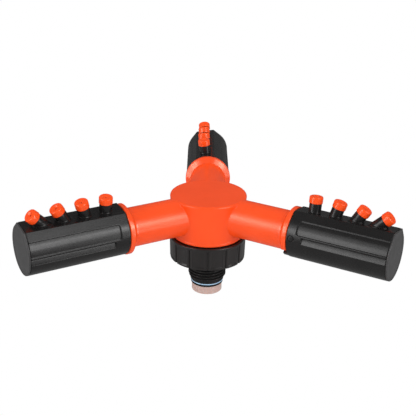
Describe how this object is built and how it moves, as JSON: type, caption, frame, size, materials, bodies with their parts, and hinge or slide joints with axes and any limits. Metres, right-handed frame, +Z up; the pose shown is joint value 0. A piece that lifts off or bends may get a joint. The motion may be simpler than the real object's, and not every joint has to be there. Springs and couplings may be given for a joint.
{
  "type": "rotary garden sprinkler head",
  "caption": "Rotary garden sprinkler head with radial arms, turnable nozzle barrels with capped angled jets, and a grooved collar over a male hose thread.",
  "frame": {"origin": "on the spin axis, where the thread meets the underside of the grip collar", "axes": "+Z up along the spin axis, +Y along arm a (straight back), +X to the right when arm a points away"},
  "size_m": [0.2508, 0.2172, 0.0884],
  "materials": {
    "orange_plastic": "satin injection-moulded",
    "black_plastic": "satin injection-moulded",
    "grey_plastic": "fine matt",
    "natural_plastic": "unpigmented, slightly milky",
    "acetal_white": "smooth",
    "ptfe_white": "waxy",
    "black_rubber": "matt"
  },
  "bodies": {
    "inlet": {"inlet_collar": "black_plastic", "upper_bush": "acetal_white", "lower_bush": "acetal_white", "upper_thrust_washer": "ptfe_white", "lower_thrust_washer": "ptfe_white"},
    "rotor": {"hub_body": "orange_plastic", "hub_base": "orange_plastic", "spindle": "natural_plastic", "seal_ring": "black_rubber", "spindle_o_ring": "black_rubber", "arm_o_ring_a": "black_rubber", "arm_o_ring_b": "black_rubber", "arm_o_ring_c": "black_rubber"},
    "nozzle_barrel_a": {"barrel_a": "black_plastic", "end_cap_a": "grey_plastic", "retaining_pin_a": "black_plastic", "nozzle_cap_a1": "orange_plastic", "nozzle_cap_a2": "orange_plastic", "nozzle_cap_a3": "orange_plastic", "nozzle_cap_a4": "orange_plastic"},
    "nozzle_barrel_b": {"barrel_b": "black_plastic", "end_cap_b": "grey_plastic", "retaining_pin_b": "black_plastic", "nozzle_cap_b1": "orange_plastic", "nozzle_cap_b2": "orange_plastic", "nozzle_cap_b3": "orange_plastic", "nozzle_cap_b4": "orange_plastic"},
    "nozzle_barrel_c": {"barrel_c": "black_plastic", "end_cap_c": "grey_plastic", "retaining_pin_c": "black_plastic", "nozzle_cap_c1": "orange_plastic", "nozzle_cap_c2": "orange_plastic", "nozzle_cap_c3": "orange_plastic", "nozzle_cap_c4": "orange_plastic"}
  },
  "joints": [
    {"name": "rotor_spin", "type": "hinge", "parent": "inlet", "child": "rotor", "pos_m": [0, 0, 0.0334], "axis": [0, 0, 1], "continuous": true},
    {"name": "barrel_turn_a", "type": "hinge", "parent": "rotor", "child": "nozzle_barrel_a", "pos_m": [0, 0, 0.0334], "axis": [0, -1, 0], "range_deg": [-34, 14.5]},
    {"name": "barrel_turn_b", "type": "hinge", "parent": "rotor", "child": "nozzle_barrel_b", "pos_m": [0, 0, 0.0334], "axis": [0.866, 0.5, 0], "range_deg": [-34, 14.5]},
    {"name": "barrel_turn_c", "type": "hinge", "parent": "rotor", "child": "nozzle_barrel_c", "pos_m": [0, 0, 0.0334], "axis": [-0.866, 0.5, 0], "range_deg": [-34, 14.5]}
  ]
}
